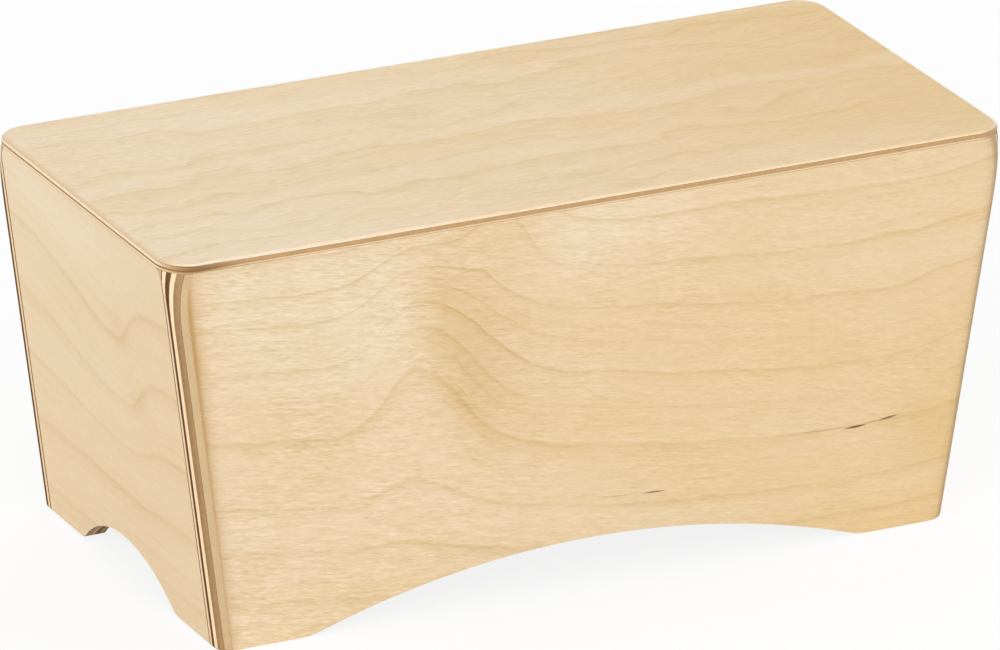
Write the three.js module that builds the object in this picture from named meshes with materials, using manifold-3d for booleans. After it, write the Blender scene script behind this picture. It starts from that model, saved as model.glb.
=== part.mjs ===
// Bongo cajon: a glued plywood box with a thin playing plate, open below.
// Millimetres, +X along the box, +Y to the rear, +Z up, origin on the floor under the middle of the box.

import * as THREE from 'three';
import { mergeVertices } from 'three/addons/utils/BufferGeometryUtils.js';
import Module from 'manifold-3d';

const wasm = await Module();
wasm.setup();

// Outer form
const BOX_LENGTH = 400; // at the plate, the longest place
const BOX_DEPTH = 178;
const BOX_HEIGHT = 178.5; // floor to playing face
const END_LEAN = 25; // how far each end runs in from the plate to the floor

// Boards
const PANEL_THICK = 9.5; // front, rear and end panels
const PLATE_THICK = 3.7;
const DIVIDER_THICK = 6;

// Playing plate
const PLATE_CORNER = 14; // radius of its corners, seen from above
const PLATE_EASE_IN = 3; // rounding of its upper rim, measured level
const PLATE_EASE_DOWN = 1.8; // and measured upright

// Upright edges, rounded wider along the long panels than across their thickness
const EDGE_ROUND_ALONG = 7.8;
const EDGE_ROUND_ACROSS = 5.2;
const FLARE_HEIGHT = 40; // the edges swell into the plate's corners over this height
const FLARE_POWER = 4; // how late in that height the swell comes, where 1 is a straight taper
const FOOT_ROUND = 1.2; // rounding where the ends meet the floor

// Arches along the floor: half width at the floor, height, and rounding of the feet beside them
const LONG_ARCH_HALF = 137;
const LONG_ARCH_RISE = 22;
const LONG_ARCH_FOOT = 30;
const END_ARCH_HALF = 50;
const END_ARCH_RISE = 19.5;
const END_ARCH_FOOT = 9;

// Inner pieces
const DIVIDER_OFFSET = 35; // from the middle, so that the two chambers differ
const CLEAT_WIDTH = 10;
const BLOCK_LEG = 16; // each glued side of a corner block
const ARCH_CLEARANCE = 8; // inner pieces end this far above the arches
const PLATE_CLEARANCE = 12; // strips stop this far below the plate, so that it rings freely
const GLUE_LINE = 0.3; // between a corner block and its leaning end panel

// Smoothness of the round stretches
const CORNER_STEPS = 10;
const FLARE_STEPS = 8;
const FOOT_STEPS = 3;
const EASE_STEPS = 4;
const ARCH_STEPS = 32;
const ARCH_FOOT_STEPS = 5;
const OVERCUT = 10; // how far cutting shapes run past what they cut

// Worked out from the sizes above
const bodyHeight = BOX_HEIGHT - PLATE_THICK;
const halfDepth = BOX_DEPTH / 2;
const innerHalfDepth = halfDepth - PANEL_THICK;
const leanSlope = END_LEAN / bodyHeight;
const endThick = PANEL_THICK * Math.hypot(1, leanSlope); // measured level through a leaning end panel
const innerFloor = Math.max(LONG_ARCH_RISE, END_ARCH_RISE) + ARCH_CLEARANCE;
const stripTop = bodyHeight - PLATE_CLEARANCE;

const plateBirch = new THREE.MeshStandardMaterial({ color: 0xe6cfa2, roughness: 0.38, metalness: 0 });
const panelBirch = new THREE.MeshStandardMaterial({ color: 0xead3a6, roughness: 0.42, metalness: 0 });
const dividerPly = new THREE.MeshStandardMaterial({ color: 0xdfc697, roughness: 0.7, metalness: 0 });
const battenPine = new THREE.MeshStandardMaterial({ color: 0xe2c48d, roughness: 0.75, metalness: 0 });

// Half the box's length at a height above the floor
function halfLength(z) {
  return BOX_LENGTH / 2 - leanSlope * (bodyHeight - z);
}

// A closed mesh as a solid that can be joined and cut
function solidOf(geometry) {
  const bare = geometry.clone();
  bare.deleteAttribute('normal');
  bare.deleteAttribute('uv');
  const welded = mergeVertices(bare);
  return new wasm.Manifold(new wasm.Mesh({
    numProp: 3,
    vertProperties: welded.getAttribute('position').array,
    triVerts: Uint32Array.from(welded.index.array),
  }));
}

// And back to a mesh
function geometryOf(solid) {
  const { vertProperties, triVerts } = solid.getMesh();
  const geometry = new THREE.BufferGeometry();
  geometry.setAttribute('position', new THREE.BufferAttribute(vertProperties, 3));
  geometry.setIndex(new THREE.BufferAttribute(triVerts, 1));
  geometry.computeVertexNormals();
  return geometry;
}

// A level ring: a rectangle whose corners are quarter ellipses
function ring(z, halfX, halfY, roundX, roundY) {
  const points = [];
  const corners = [[1, 1], [-1, 1], [-1, -1], [1, -1]];
  corners.forEach(([sideX, sideY], quarter) => {
    const arc = new THREE.EllipseCurve(
      sideX * (halfX - roundX),
      sideY * (halfY - roundY),
      roundX,
      roundY,
      quarter * Math.PI / 2,
      (quarter + 1) * Math.PI / 2,
    );
    points.push(...arc.getPoints(CORNER_STEPS));
  });
  return { z, points };
}

// A closed skin over a stack of rings, lowest first
function loft(rings) {
  const count = rings[0].points.length;
  const places = rings.flatMap(({ z, points }) => points.flatMap((point) => [point.x, point.y, z]));
  const faces = [];
  for (let level = 0; level + 1 < rings.length; level += 1) {
    for (let i = 0; i < count; i += 1) {
      const near = level * count + i;
      const next = level * count + (i + 1) % count;
      faces.push(near, next, next + count, near, next + count, near + count);
    }
  }
  const top = (rings.length - 1) * count;
  const cap = THREE.ShapeUtils.triangulateShape(rings[0].points, []);
  cap.forEach(([a, b, c]) => {
    faces.push(c, b, a, top + a, top + b, top + c);
  });
  const geometry = new THREE.BufferGeometry();
  geometry.setAttribute('position', new THREE.Float32BufferAttribute(places, 3));
  geometry.setIndex(faces);
  geometry.computeVertexNormals();
  return geometry;
}

// Ring of the box's outer form, where the upright edges swell towards the plate
function bodyRing(z, inset = 0) {
  const climb = Math.max(0, 1 - (bodyHeight - z) / FLARE_HEIGHT);
  const swell = climb ** FLARE_POWER;
  const roundX = THREE.MathUtils.lerp(EDGE_ROUND_ALONG, PLATE_CORNER, swell);
  const roundY = THREE.MathUtils.lerp(EDGE_ROUND_ACROSS, PLATE_CORNER, swell);
  return ring(z, halfLength(z) - inset, halfDepth, roundX, roundY);
}

// The outer form of the whole box under the plate, from which the panels are cut
function outerForm() {
  const rings = [];
  for (let step = 0; step <= FOOT_STEPS; step += 1) {
    const turn = step / FOOT_STEPS * Math.PI / 2;
    rings.push(bodyRing(FOOT_ROUND * (1 - Math.cos(turn)), FOOT_ROUND * (1 - Math.sin(turn))));
  }
  for (let step = 0; step <= FLARE_STEPS; step += 1) {
    rings.push(bodyRing(bodyHeight - FLARE_HEIGHT * (1 - step / FLARE_STEPS)));
  }
  return solidOf(loft(rings));
}

// Outline of an arch opening, standing on the floor, with its feet rounded
function archShape(half, rise, foot) {
  const radius = (half * half + rise * rise) / (2 * rise) - foot;
  const crownCentre = rise - radius;
  const lean = Math.atan2(foot - crownCentre, half); // from the crown's centre to a foot's centre
  const arcs = [
    new THREE.ArcCurve(-half, foot, foot, -Math.PI / 2, -lean),
    new THREE.ArcCurve(0, crownCentre, radius, Math.PI - lean, lean, true),
    new THREE.ArcCurve(half, foot, foot, Math.PI + lean, 1.5 * Math.PI),
  ];
  const steps = [ARCH_FOOT_STEPS, ARCH_STEPS, ARCH_FOOT_STEPS];
  const curve = arcs.flatMap((arc, i) => arc.getPoints(steps[i]).slice(i === 0 ? 0 : 1));
  const below = [new THREE.Vector2(half, -OVERCUT), new THREE.Vector2(-half, -OVERCUT)];
  return new THREE.Shape([...curve, ...below]);
}

// A shape drawn on end, x to the right and y up, made into a bar that is centred on the Y axis
function barAlongY(shape, length) {
  const bar = new THREE.ExtrudeGeometry(shape, { depth: length, bevelEnabled: false });
  return bar.rotateX(Math.PI / 2).translate(0, length / 2, 0);
}

const body = outerForm();
const longArch = solidOf(barAlongY(
  archShape(LONG_ARCH_HALF, LONG_ARCH_RISE, LONG_ARCH_FOOT),
  BOX_DEPTH + 2 * OVERCUT,
));
const endArch = solidOf(barAlongY(
  archShape(END_ARCH_HALF, END_ARCH_RISE, END_ARCH_FOOT),
  BOX_LENGTH + 2 * OVERCUT,
).rotateZ(Math.PI / 2));

// Three-ply plate: straight sides, and an upper rim that is rounded over
function playingPlate() {
  const rings = [ring(bodyHeight, BOX_LENGTH / 2, halfDepth, PLATE_CORNER, PLATE_CORNER)];
  for (let step = 0; step <= EASE_STEPS; step += 1) {
    const turn = step / EASE_STEPS * Math.PI / 2;
    const inset = PLATE_EASE_IN * (1 - Math.cos(turn));
    const z = BOX_HEIGHT - PLATE_EASE_DOWN * (1 - Math.sin(turn));
    const corner = PLATE_CORNER - inset;
    rings.push(ring(z, BOX_LENGTH / 2 - inset, halfDepth - inset, corner, corner));
  }
  return loft(rings);
}

// Front panel (side -1) or rear panel (side 1), cut from the outer form over its full length
function longPanel(side) {
  const slab = new THREE.BoxGeometry(
    BOX_LENGTH + OVERCUT,
    PANEL_THICK + OVERCUT,
    bodyHeight + 2 * OVERCUT,
  );
  slab.translate(0, side * (innerHalfDepth + (PANEL_THICK + OVERCUT) / 2), bodyHeight / 2);
  return geometryOf(body.intersect(solidOf(slab)).subtract(longArch));
}

// Left end panel (side -1) or right one (side 1): a leaning board between the long panels
function endPanel(side) {
  const low = -OVERCUT;
  const high = bodyHeight + OVERCUT;
  const section = new THREE.Shape([
    new THREE.Vector2(side * (halfLength(low) - endThick), low),
    new THREE.Vector2(side * (halfLength(low) + OVERCUT), low),
    new THREE.Vector2(side * (halfLength(high) + OVERCUT), high),
    new THREE.Vector2(side * (halfLength(high) - endThick), high),
  ]);
  const slab = solidOf(barAlongY(section, 2 * innerHalfDepth));
  return geometryOf(body.intersect(slab).subtract(endArch));
}

// Partition between the two chambers
function divider() {
  return new THREE.BoxGeometry(DIVIDER_THICK, 2 * innerHalfDepth, bodyHeight - innerFloor);
}

// Square strip beside the divider
function cleat() {
  return new THREE.BoxGeometry(CLEAT_WIDTH, CLEAT_WIDTH, stripTop - innerFloor);
}

// Three-cornered strip in an upright corner, leaning with the end panel beside it
function cornerBlock(sideX, sideY) {
  const cornerX = sideX * (halfLength(0) - endThick - GLUE_LINE);
  const cornerY = sideY * innerHalfDepth;
  const section = new THREE.Shape([
    new THREE.Vector2(cornerX, cornerY),
    new THREE.Vector2(cornerX - sideX * BLOCK_LEG, cornerY),
    new THREE.Vector2(cornerX, cornerY - sideY * BLOCK_LEG),
  ]);
  const strip = new THREE.ExtrudeGeometry(section, { depth: stripTop - innerFloor, bevelEnabled: false });
  const shear = new THREE.Matrix4().makeShear(0, 0, 0, 0, sideX * leanSlope, 0);
  return strip.translate(0, 0, innerFloor).applyMatrix4(shear);
}

const bongoCajon = new THREE.Group();

function addPiece(name, geometry, material, x = 0, y = 0, z = 0) {
  const mesh = new THREE.Mesh(geometry, material);
  mesh.name = name;
  mesh.position.set(x, y, z);
  bongoCajon.add(mesh);
}

const ENDS = [['left', -1], ['right', 1]];
const FACES = [['front', -1], ['rear', 1]];

addPiece('playing_plate', playingPlate(), plateBirch);
for (const [face, sideY] of FACES) {
  addPiece(`${face}_panel`, longPanel(sideY), panelBirch);
}
for (const [end, sideX] of ENDS) {
  addPiece(`${end}_end_panel`, endPanel(sideX), panelBirch);
}
addPiece('divider', divider(), dividerPly, DIVIDER_OFFSET, 0, (innerFloor + bodyHeight) / 2);
for (const [face, sideY] of FACES) {
  for (const [end, sideX] of ENDS) {
    const cleatX = DIVIDER_OFFSET + sideX * (DIVIDER_THICK + CLEAT_WIDTH) / 2;
    const cleatY = sideY * (innerHalfDepth - CLEAT_WIDTH / 2);
    addPiece(`divider_cleat_${face}_${end}`, cleat(), battenPine, cleatX, cleatY, (innerFloor + stripTop) / 2);
    addPiece(`corner_block_${face}_${end}`, cornerBlock(sideX, sideY), battenPine);
  }
}

export default bongoCajon;
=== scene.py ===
"""Bongo cajon: the finish of a small birch plywood box drum, on a white studio floor."""

import math
from collections import namedtuple
from collections.abc import Sequence
from dataclasses import dataclass
from functools import partialmethod, wraps
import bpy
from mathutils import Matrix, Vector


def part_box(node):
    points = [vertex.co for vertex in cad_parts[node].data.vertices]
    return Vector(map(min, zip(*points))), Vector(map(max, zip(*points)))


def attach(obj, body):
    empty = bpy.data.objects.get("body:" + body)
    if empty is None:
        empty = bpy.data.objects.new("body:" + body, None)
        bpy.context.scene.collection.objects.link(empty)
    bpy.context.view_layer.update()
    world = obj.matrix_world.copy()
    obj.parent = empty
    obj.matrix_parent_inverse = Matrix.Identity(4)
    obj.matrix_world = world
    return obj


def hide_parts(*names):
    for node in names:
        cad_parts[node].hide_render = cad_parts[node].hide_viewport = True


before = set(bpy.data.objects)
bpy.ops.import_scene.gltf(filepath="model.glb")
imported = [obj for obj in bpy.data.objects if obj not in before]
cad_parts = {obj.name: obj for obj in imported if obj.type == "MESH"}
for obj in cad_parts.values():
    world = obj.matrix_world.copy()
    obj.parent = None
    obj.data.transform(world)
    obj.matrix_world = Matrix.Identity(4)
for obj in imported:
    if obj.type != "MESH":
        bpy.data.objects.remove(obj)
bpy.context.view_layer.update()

from types import SimpleNamespace

import bmesh
import bpy
from bpy.props import FloatProperty, FloatVectorProperty, PointerProperty
from mathutils import Matrix, Vector

bl_info = {
    "name": "Bongo cajon",
    "version": (1, 0, 0),
    "blender": (4, 5, 0),
    "location": "View3D > Sidebar > Cajon",
    "description": "Finishes the boards and strips of a bongo cajon and sets it on a studio floor",
    "category": "Object",
}

MM = 0.001

# Sizes taken from the frame
PLATE_LOW, PLATE_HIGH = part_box("playing_plate")
DIVIDER_LOW, DIVIDER_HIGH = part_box("divider")
CLEAT_LOW, CLEAT_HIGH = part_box("divider_cleat_front_left")
BLOCK_LOW, BLOCK_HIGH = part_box("corner_block_front_left")
HALF_LENGTH = PLATE_HIGH.x
HALF_DEPTH = PLATE_HIGH.y
PLATE_THICK = PLATE_HIGH.z - PLATE_LOW.z
DIVIDER_THICK = DIVIDER_HIGH.x - DIVIDER_LOW.x
CLEAT_WIDTH = CLEAT_HIGH.x - CLEAT_LOW.x
BLOCK_LEG = BLOCK_HIGH.y - BLOCK_LOW.y
STRIP_BOTTOM = CLEAT_LOW.z
STRIP_HEIGHT = CLEAT_HIGH.z - CLEAT_LOW.z
LEAN = (BLOCK_HIGH.x - BLOCK_LOW.x - BLOCK_LEG) / (BLOCK_HIGH.z - BLOCK_LOW.z)
FLOOR_HALF_LENGTH = HALF_LENGTH - LEAN * PLATE_LOW.z

# Mesh work: how close doubled corners lie, which angles are flat and which sharp, and the steps of roundings
WELD = 0.001 * MM
FLAT = math.radians(0.05)
SHARP = math.radians(32)
ARRIS_STEPS = 2
CORNER_STEPS = 16
RIM_STEPS = 6
STRIP_ARRIS_STEPS = 4

# A ply: its thickness, 1 if its grain runs across the board, its tone from pale, 0, to dark, 1, and how deep
# the resin over it has soaked in. Lengths in millimetres
Ply = namedtuple("Ply", "thick cross tone resin", defaults=(0.22,))
RESIN_RISE = 0.04  # how sharply the resin begins

# Plies of each board, from its outer face inwards
PANEL_PLIES = (
    Ply(0.08, 0, 0.0),
    Ply(1.06, 1, 0.75, 0.08),
    Ply(1.85, 0, 0.68),
    Ply(1.63, 1, 0.0),
    Ply(2.07, 0, 1.0),
    Ply(1.91, 1, 0.0),
    Ply(0.90, 0, 0.8),
)
PLATE_PLIES = (
    Ply(0.9, 0, 0.0),
    Ply(1.75, 1, 0.0, 0.5),
    Ply(0.8, 0, 0.12, 0.5),
    Ply(1.25, 1, 0.0),  # shows mostly where the rim is sanded deeper
)
DIVIDER_PLIES = (
    Ply(1.2, 0, 0.2),
    Ply(1.2, 1, 0.3),
    Ply(1.2, 0, 0.5),
    Ply(1.2, 1, 0.3),
    Ply(1.2, 0, 0.2),
)

# Where the growth lines climb, or the colour changes: the height, the place of its peak along and across the
# grain, how far it reaches before and after the peak, how far across, and how far it leans along the grain
# for each millimetre across. Millimetres, with a share as the height of a colour
Hump = namedtuple("Hump", "height centre level before after spread lean", defaults=(0,))

# A dark mineral fleck: where its middle lies, its slope, length and width, and its strength. Millimetres
Fleck = namedtuple("Fleck", "centre level slope length width strength")


@dataclass(frozen=True)
class Figure:
    """What a veneer shows. Lengths are in millimetres, and colour runs from sapwood, 0, to heartwood, 1."""

    seed: float
    levels: Sequence  # where the growth lines cross the board, before they are bent
    strength: float  # of the lines
    width: float  # share of the way to the next line that a line takes
    warmth: float  # colour in the middle
    drift: float = 0.0  # and how it changes over a metre of length
    faint: Sequence = ()  # those of the lines that are faint
    sway: float = 9  # how far the lines wander
    ripple: float = 3  # and in shorter waves
    mottle: float = 1.0  # how much the colour changes from band to band
    tilt: float = 0.0  # slope of the fibres
    grain: float = 1.0  # contrast of the fibres in the middle
    fade: float = 0.0  # and how it changes over a metre of length
    humps: Sequence = ()  # where the lines climb
    patches: Sequence = ()  # where the colour is warmer
    shades: Sequence = ()  # where the fibres dip into the sheet and look darker
    flecks: Sequence = ()


FRONT_FIGURE = Figure(
    seed=1.0, levels=(-10, 15, 40, 64, 85, 113, 127, 137.5, 146, 154.5, 166, 180, 196, 215),
    faint=(127, 146), strength=0.42, width=0.35, warmth=0.42, drift=1.2, sway=5, ripple=2, mottle=1.4,
    tilt=-0.16, fade=-1.8,
    humps=(
        Hump(height=26, centre=-84, level=118, before=22, after=35, spread=62),
        Hump(height=-60, centre=142, level=50, before=295, after=150, spread=100),
        Hump(height=18, centre=-45, level=180, before=18, after=24, spread=24),
    ),
    patches=(
        Hump(height=-0.3, centre=-150, level=152, before=60, after=40, spread=32),
        Hump(height=-0.35, centre=-96, level=136, before=30, after=14, spread=32),
        Hump(height=-0.45, centre=-5, level=164, before=24, after=60, spread=22),
        Hump(height=0.12, centre=-140, level=95, before=50, after=50, spread=28),
        Hump(height=0.35, centre=-192, level=152, before=20, after=13, spread=30),
        Hump(height=-0.22, centre=170, level=165, before=70, after=60, spread=45),
        Hump(height=0.3, centre=185, level=30, before=22, after=30, spread=28),
    ),
    shades=(
        Hump(height=0.38, centre=-62, level=116, before=14, after=28, spread=44, lean=-0.3),
        Hump(height=0.12, centre=-42, level=170, before=16, after=20, spread=14),
        Hump(height=0.14, centre=165, level=42, before=18, after=14, spread=14),
    ),
    flecks=(
        Fleck(centre=137, level=52.0, slope=0.1, length=34, width=0.35, strength=0.5),
        Fleck(centre=129, level=51.1, slope=0.03, length=13, width=0.9, strength=1.0),
        Fleck(centre=145, level=52.6, slope=0.12, length=12, width=0.75, strength=0.9),
        Fleck(centre=110, level=52.2, slope=-0.05, length=42, width=0.5, strength=0.3),
        Fleck(centre=31, level=37.8, slope=-0.05, length=14, width=0.7, strength=0.8),
        Fleck(centre=14, level=39.0, slope=-0.04, length=24, width=0.5, strength=0.25),
    ),
)
REAR_FIGURE = Figure(
    seed=7.0, levels=range(-40, 230, 26), strength=0.3, width=0.22, warmth=0.5, drift=-0.6, tilt=0.08,
    humps=(
        Hump(height=26, centre=50, level=90, before=40, after=60, spread=40),
        Hump(height=-18, centre=-110, level=70, before=100, after=80, spread=300),
    ),
    shades=(Hump(height=0.2, centre=80, level=95, before=24, after=30, spread=34, lean=0.2),),
    flecks=(Fleck(centre=-60, level=122, slope=0.06, length=16, width=0.5, strength=0.7),),
)
LEFT_END_FIGURE = Figure(
    seed=13.0, levels=(-30, 16, 50, 83, 116, 150, 185, 220), strength=0.34, width=0.4, warmth=0.4,
    drift=-0.6, sway=6, grain=0.4,
    humps=(Hump(height=-26, centre=-23, level=112, before=20, after=70, spread=48),),
    patches=(Hump(height=-0.5, centre=30, level=170, before=70, after=60, spread=36),),
    shades=(
        Hump(height=0.14, centre=-27, level=129, before=10, after=12, spread=7),
        Hump(height=0.2, centre=-38, level=98, before=9, after=10, spread=9),
    ),
)
RIGHT_END_FIGURE = Figure(
    seed=19.0, levels=range(-25, 230, 31), strength=0.3, width=0.24, warmth=0.42, drift=0.4, grain=0.5,
    humps=(Hump(height=14, centre=20, level=95, before=60, after=45, spread=45),),
)
PLATE_FIGURE = Figure(
    seed=4.0, levels=range(-133, 134, 19), strength=0.32, width=0.5, warmth=0.4, drift=2.1, sway=30,
    ripple=40, mottle=1.6, grain=0.9,
    patches=(Hump(height=0.2, centre=190, level=0, before=110, after=60, spread=200),),
)
DIVIDER_FIGURE = Figure(seed=25.0, levels=range(-21, 211, 21), strength=0.5, width=0.3, warmth=0.7)


def screen(red, green, blue):
    """A colour as read on a screen, 0 to 255, in the linear numbers that Blender's sockets hold."""
    shares = (red / 255, green / 255, blue / 255)
    return tuple(s / 12.92 if s <= 0.04045 else ((s + 0.055) / 1.055) ** 2.4 for s in shares)


def length(name, description, default):
    """A size in metres that a user may change."""
    return FloatProperty(
        name=name, description=description, default=default, min=0, unit="LENGTH", subtype="DISTANCE"
    )


def angle(name, description, degrees):
    """An angle that a user may change."""
    return FloatProperty(
        name=name, description=description, default=math.radians(degrees), unit="ROTATION", subtype="ANGLE"
    )


def share(name, description, default):
    """A level of light, where 1 is the plain level, or a share of a mix."""
    return FloatProperty(name=name, description=description, default=default, min=0, max=2, subtype="FACTOR")


def colour(name, description, *levels):
    """A colour that a user may change, written as it reads on a screen."""
    return FloatVectorProperty(
        name=name, description=description, default=screen(*levels), size=3, min=0, max=1, subtype="COLOR"
    )


class CajonSizes(bpy.types.PropertyGroup):
    """Sizes of the finish that the frame doesn't hold."""

    plate_corner: length("Plate corner", "Radius of the playing plate's corners, seen from above", 14 * MM)
    plate_rim_in: length("Plate rim, level", "How far the rounding of the rim comes in", 3 * MM)
    plate_rim_down: length("Plate rim, upright", "How far the rounding of the rim comes down", 1.8 * MM)
    plate_arris: length("Plate arris", "Chamfer under the playing plate's edge, at the glue line", 0.2 * MM)
    panel_arris: length("Panel arris", "Sanded rounding of the panels' sharp edges", 0.15 * MM)
    strip_arris: length("Strip arris", "Planed rounding of the inner strips' edges", 0.8 * MM)


class CajonColours(bpy.types.PropertyGroup):
    """Colours of the wood."""

    sapwood: colour("Sapwood", "Palest birch veneer", 235, 213, 180)
    heartwood: colour("Heartwood", "Warmest birch veneer", 223, 190, 132)
    latewood: colour("Latewood", "Growth lines in the veneer", 204, 165, 98)
    thin_veneer: colour("Thin veneer", "Face veneer sanded down to the resin under it", 182, 137, 68)
    mineral: colour("Mineral streak", "Dark flecks in the veneer", 102, 62, 0)
    # Also the pale rim of the playing plate, which is partly a painted highlight
    cross_ply: colour("Cross ply", "Long grain of a pale inner ply", 246, 219, 180)
    olive_ply: colour("Olive ply", "Long grain of a darker inner ply", 188, 158, 112)
    end_grain: colour("End grain", "End grain of a pale ply", 196, 150, 86)
    rim_end_grain: colour("Rim end grain", "End grain of the playing plate's plies", 194, 155, 106)
    dark_end_grain: colour("Dark end grain", "End grain of the darkest ply", 86, 50, 18)
    glue: colour("Glue line", "Resin between the plies", 126, 84, 34)
    pine: colour("Pine", "Raw softwood strips", 224, 190, 136)
    pine_line: colour("Pine growth line", "Summer wood of the strips", 190, 138, 80)


class CajonStage(bpy.types.PropertyGroup):
    """The studio: where the camera stands and how strong the light is."""

    azimuth: angle("Azimuth", "How far the camera stands to the left of the front", 27.44)
    elevation: angle("Elevation", "How far the camera looks down", 22.15)
    roll: angle("Roll", "Tilt of the camera about its own axis", 1.14)
    distance: length("Distance", "From the camera to the point that it looks at", 4.784)
    aim: FloatVectorProperty(
        name="Aim", description="Point that the camera looks at", size=3, unit="LENGTH",
        subtype="TRANSLATION", default=(0.67 * MM, -1.17 * MM, 87.46 * MM),
    )
    lens: FloatProperty(
        name="Lens", description="Focal length on a 36 mm sensor", default=398.5, min=1, unit="CAMERA"
    )
    sky: share("Sky", "Level of the even light from all round", 0.24)
    key: share("Key", "Level of the soft lamp before the box, at the left", 0.645)
    top: share("Top", "Level of each of the two lamps over the box", 0.142)
    side: share("Side", "Level of the soft lamp beside the left end", 0.33)
    fill: share("Fill", "Level of the soft lamp behind the box, at the right", 0.16)
    shadow: share("Shadow", "How strongly the white floor shows the shadow", 0.14)


# The mix node's sockets for colours and for values: its factor, the two that it mixes, and its result
MIX_SOCKETS = {"RGBA": (0, 6, 7, 2), "FLOAT": (0, 2, 3, 0)}


class Nodes:
    """Short ways to add nodes to a tree and join them."""

    def __init__(self, tree):
        self.tree = tree

    def add(self, kind, **settings):
        """A new node with its settings."""
        node = self.tree.nodes.new(kind)
        for name, value in settings.items():
            setattr(node, name, value)
        return node

    def put(self, value, socket):
        """Joins a socket to another, or writes a constant on it."""
        if isinstance(value, bpy.types.NodeSocket):
            self.tree.links.new(value, socket)
        elif socket.type == "RGBA":
            socket.default_value = (*value, 1)
        else:
            socket.default_value = value

    def feed(self, node, *values):
        """Fills a node's inputs in their order."""
        for value, socket in zip(values, node.inputs):
            self.put(value, socket)
        return node

    def fill(self, node, **values):
        """Fills a node's inputs by name, where an underscore stands for a space."""
        for name, value in values.items():
            self.put(value, node.inputs[name.replace("_", " ")])
        return node

    def math(self, operation, *values, clamp=False):
        """A sum on values."""
        node = self.add("ShaderNodeMath", operation=operation, use_clamp=clamp)
        return self.feed(node, *values).outputs[0]

    plus = partialmethod(math, "ADD")
    minus = partialmethod(math, "SUBTRACT")
    times = partialmethod(math, "MULTIPLY")
    over = partialmethod(math, "DIVIDE")
    larger = partialmethod(math, "MAXIMUM")
    unsigned = partialmethod(math, "ABSOLUTE")
    times_plus = partialmethod(math, "MULTIPLY_ADD")

    def vector(self, operation, *values):
        """A sum on vectors, or a dot product of two."""
        node = self.feed(self.add("ShaderNodeVectorMath", operation=operation), *values)
        return node.outputs["Value" if operation == "DOT_PRODUCT" else "Vector"]

    dot = partialmethod(vector, "DOT_PRODUCT")

    def scaled(self, vector, factor):
        """A vector or colour times a factor."""
        node = self.feed(self.add("ShaderNodeVectorMath", operation="SCALE"), vector)
        return self.fill(node, Scale=factor).outputs["Vector"]

    def combine(self, x, y, z=0.0):
        """A vector from its parts."""
        return self.feed(self.add("ShaderNodeCombineXYZ"), x, y, z).outputs[0]

    def separate(self, vector):
        """The parts of a vector."""
        return tuple(self.feed(self.add("ShaderNodeSeparateXYZ"), vector).outputs)

    def waves(self, axes, counts, detail=2.0):
        """Noise about 0, mostly within a quarter of it, with so many waves to the unit along each axis."""
        place = self.combine(*(self.times(axis, count) for axis, count in zip(axes, counts)))
        node = self.add("ShaderNodeTexNoise")
        self.fill(node, Vector=place, Scale=1.0, Detail=detail, Roughness=0.5)
        return self.minus(node.outputs[0], 0.5)

    def about(self, middle, *parts):
        """A value around a middle, from pairs of a swing and its share."""
        total = middle
        for swing, factor in parts:
            total = self.times_plus(swing, factor, total)
        return total

    def ramp(self, value, stops, interpolation="LINEAR"):
        """A value turned into another by a few stops."""
        node = self.add("ShaderNodeValToRGB")
        node.color_ramp.interpolation = interpolation
        elements = node.color_ramp.elements
        while len(elements) < len(stops):
            elements.new(1.0)
        for element, (position, level) in zip(elements, stops):
            element.position = position
            element.color = (*level, 1) if isinstance(level, tuple) else (level, level, level, 1)
        return self.feed(node, value).outputs[0]

    def mixed(self, kind, *values):
        """A mix, by a factor, of two colours or two values."""
        node = self.add("ShaderNodeMix", data_type=kind)
        *places, result = MIX_SOCKETS[kind]
        for place, value in zip(places, values):
            self.put(value, node.inputs[place])
        return node.outputs[result]

    mix = partialmethod(mixed, "RGBA")
    blend = partialmethod(mixed, "FLOAT")

    def mix_shader(self, *values):
        """A mix, by a factor, of two shaders."""
        return self.feed(self.add("ShaderNodeMixShader"), *values).outputs[0]

    def group(self, tree, **values):
        """The outputs of a node group, with its inputs filled."""
        return self.fill(self.add("ShaderNodeGroup", node_tree=tree), **values).outputs


VALUE = "NodeSocketFloat"
COLOUR = "NodeSocketColor"
PLACE = "NodeSocketVector"


def sockets(names, kind=VALUE):
    """Named sockets of one kind."""
    return {name: kind for name in names.split(", ")}


def new_group(name, inputs, outputs, kind="ShaderNodeTree"):
    """An empty node group: its nodes, its named inputs and its output node."""
    tree = bpy.data.node_groups.new(name, kind)
    for socket, socket_type in inputs.items():
        tree.interface.new_socket(name=socket, in_out="INPUT", socket_type=socket_type)
    for socket, socket_type in outputs.items():
        tree.interface.new_socket(name=socket, in_out="OUTPUT", socket_type=socket_type)
    nodes = Nodes(tree)
    entries = nodes.add("NodeGroupInput").outputs
    given = SimpleNamespace(**{socket.lower().replace(" ", "_"): entries[socket] for socket in inputs})
    return nodes, given, nodes.add("NodeGroupOutput")


def built_once(build):
    """Has a node group built the first time, and finds it by its name after that."""
    names = {}

    @wraps(build)
    def group(*key):
        tree = bpy.data.node_groups.get(names.get(key, ""))
        if tree is None:
            tree = build(*key)
            names[key] = tree.name
        return tree

    return group


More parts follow.
